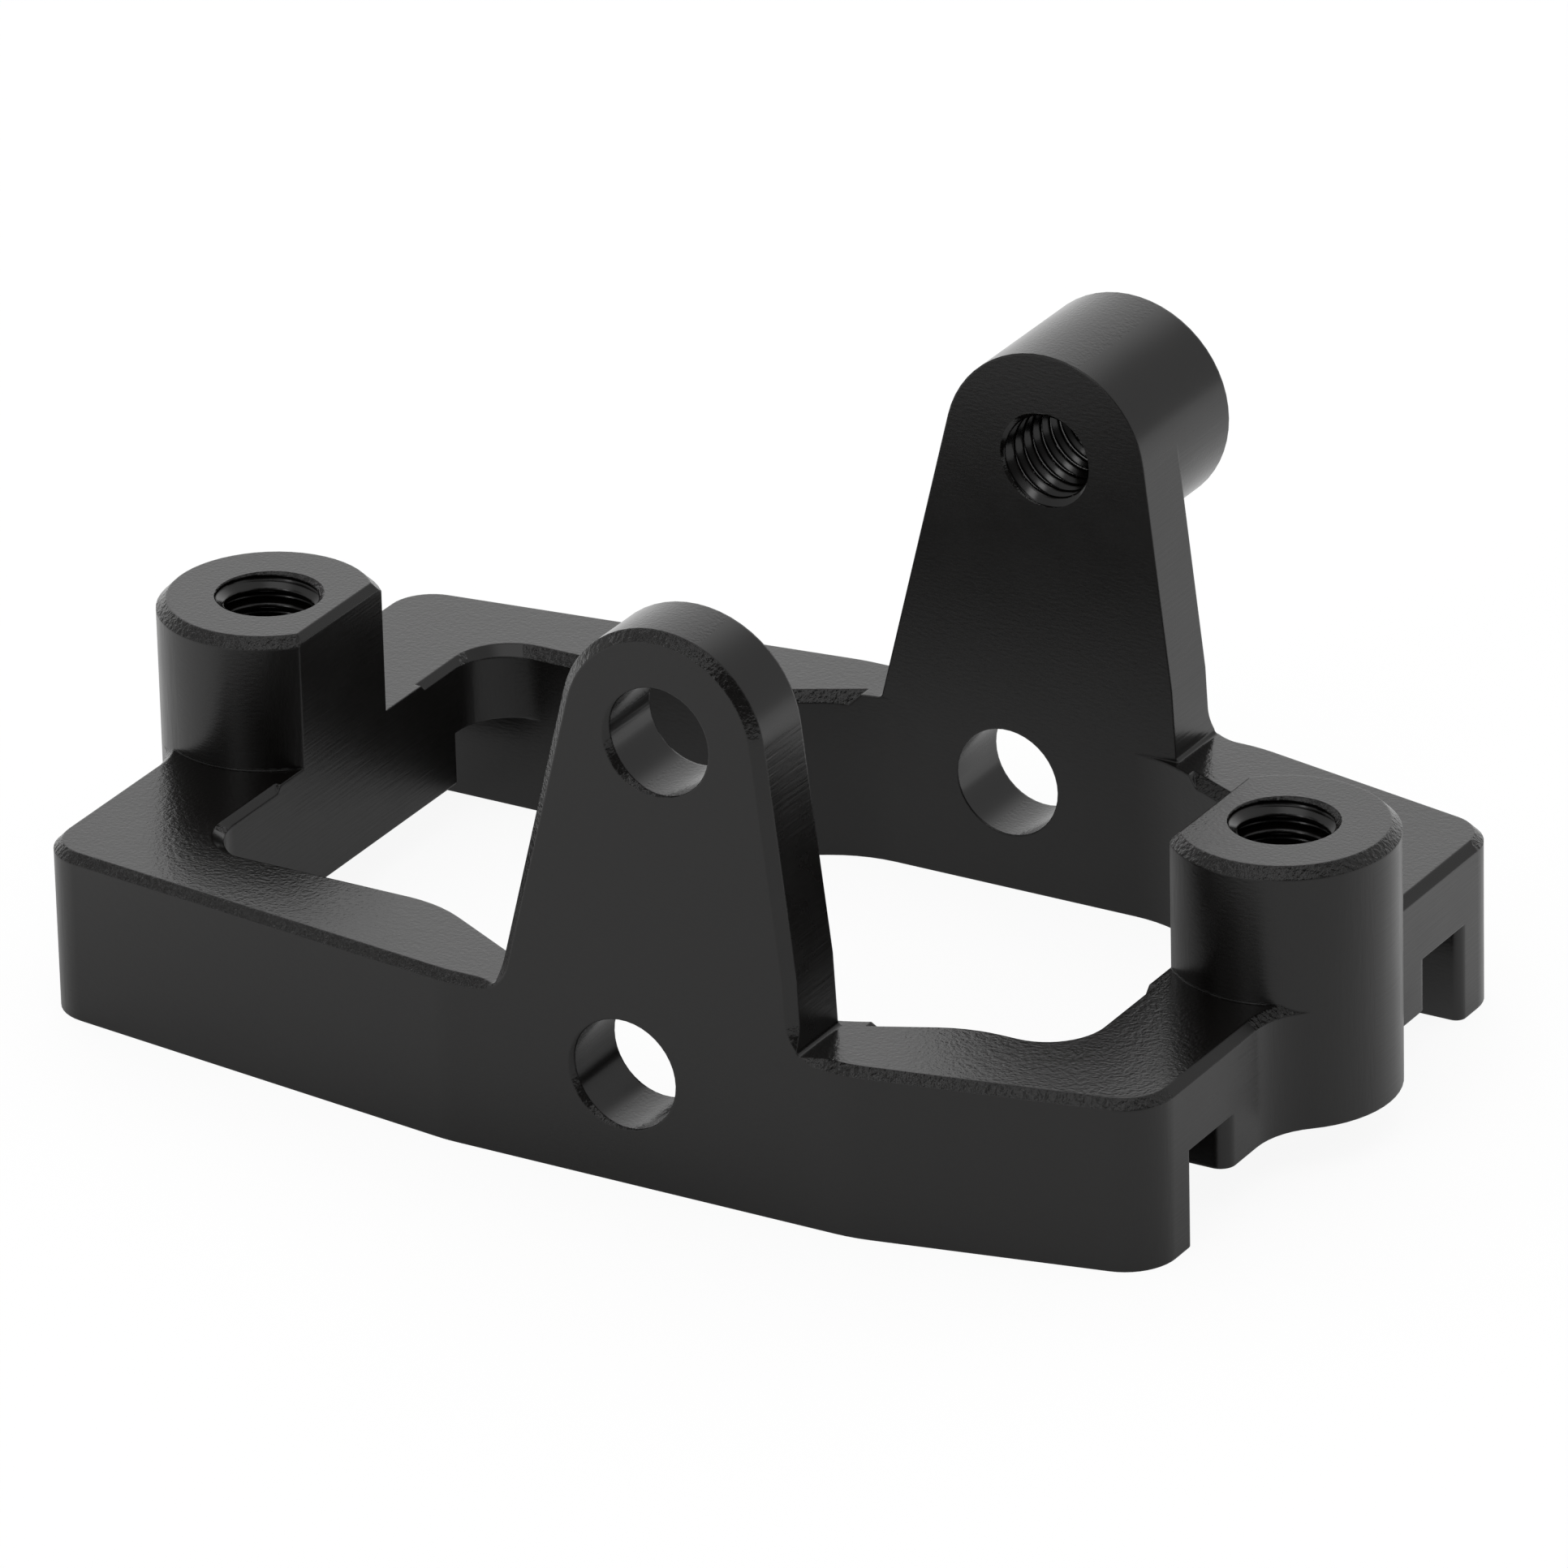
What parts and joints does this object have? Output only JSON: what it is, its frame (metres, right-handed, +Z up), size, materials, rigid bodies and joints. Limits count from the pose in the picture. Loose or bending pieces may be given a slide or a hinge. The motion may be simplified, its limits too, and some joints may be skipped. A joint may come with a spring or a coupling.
{
  "type": "servo bracket",
  "caption": "Milled aluminium servo bracket: a ring-shaped base with threaded bosses at its ends and drilled ears on its long rails.",
  "frame": {"origin": "under the middle of the whole bracket, on the plane that the feet of the long rails stand on", "axes": "+X along the ring towards the end that the ears are nearer to, +Y across the ring towards the ear with the round boss, +Z up out of the threaded bosses"},
  "size_m": [0.0384, 0.0256, 0.0164],
  "materials": {
    "black_anodised": "satin black anodised"
  },
  "bodies": {
    "root": {"servo_bracket": "black_anodised"}
  },
  "joints": []
}
